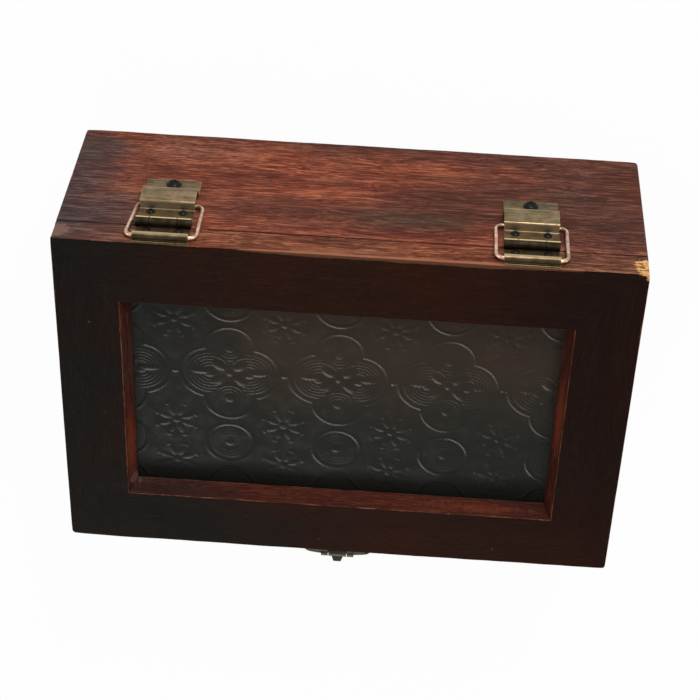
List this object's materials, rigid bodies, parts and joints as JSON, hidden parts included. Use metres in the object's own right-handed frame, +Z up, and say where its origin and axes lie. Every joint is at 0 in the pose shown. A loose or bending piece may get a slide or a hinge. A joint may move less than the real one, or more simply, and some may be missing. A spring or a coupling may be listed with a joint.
{
  "type": "antique glove box",
  "caption": "Dark stained wooden glove box with a framed pattern-glass lid, bronze stay hinges with wire rings, and a front hasp.",
  "frame": {"origin": "centre of the base's underside, on the surface that the box stands on", "axes": "+X along the width, towards the right end as seen from the front; +Y to the back, where the hinges are; +Z up, to the lid"},
  "size_m": [0.24, 0.1726, 0.0864],
  "materials": {
    "case_wood": "red-brown stain, satin, with open horizontal grain and charred ends",
    "lid_wood": "near black red-brown stain, satin, worn at the corners",
    "base_wood": "dark stained plywood",
    "pattern_glass": "smoke grey rolled glass with a raised quatrefoil pattern",
    "bronze": "brushed antique bronze with bright edges",
    "blackened_steel": "blackened steel",
    "steel": "plain steel"
  },
  "bodies": {
    "case": {"front_wall": "case_wood", "back_wall": "case_wood", "left_wall": "case_wood", "right_wall": "case_wood", "base_panel": "base_wood", "base_brads": "steel", "left_body_leaf": "bronze", "left_hinge_pin": "steel", "left_foot_screw": "blackened_steel", "left_body_leaf_screws": "blackened_steel", "right_body_leaf": "bronze", "right_hinge_pin": "steel", "right_foot_screw": "blackened_steel", "right_body_leaf_screws": "blackened_steel", "clasp_catch_plate": "bronze", "clasp_stud": "bronze", "clasp_catch_screws": "blackened_steel"},
    "lid": {"lid_front_rail": "lid_wood", "lid_back_rail": "lid_wood", "lid_left_stile": "lid_wood", "lid_right_stile": "lid_wood", "glass_pane": "pattern_glass", "front_bead": "lid_wood", "back_bead": "lid_wood", "left_bead": "lid_wood", "right_bead": "lid_wood", "bead_pins": "steel", "left_lid_leaf": "bronze", "left_lid_leaf_screws": "blackened_steel", "right_lid_leaf": "bronze", "right_lid_leaf_screws": "blackened_steel", "clasp_lid_plate": "bronze", "clasp_pin": "steel", "clasp_lid_screws": "blackened_steel"},
    "left_ring": {"left_ring": "bronze"},
    "right_ring": {"right_ring": "bronze"},
    "hasp": {"clasp_hasp": "bronze"}
  },
  "joints": [
    {"name": "lid_hinge", "type": "hinge", "parent": "case", "child": "lid", "pos_m": [0, 0.0823, 0.0734], "axis": [-1, 0, 0], "range_deg": [0, 90]},
    {"name": "left_ring_pivot", "type": "hinge", "parent": "lid", "child": "left_ring", "pos_m": [-0.076, 0.08181, 0.0834], "axis": [-1, 0, 0], "range_deg": [-65, 0]},
    {"name": "right_ring_pivot", "type": "hinge", "parent": "lid", "child": "right_ring", "pos_m": [0.073, 0.08181, 0.0834], "axis": [-1, 0, 0], "range_deg": [-65, 0]},
    {"name": "hasp_pivot", "type": "hinge", "parent": "lid", "child": "hasp", "pos_m": [0, -0.0825, 0.0838], "axis": [-1, 0, 0], "range_deg": [0, 90]}
  ],
  "couplings": [
    {"joint": "left_ring_pivot", "follows": "lid_hinge", "ratio": -0.7165},
    {"joint": "right_ring_pivot", "follows": "lid_hinge", "ratio": -0.7165}
  ]
}
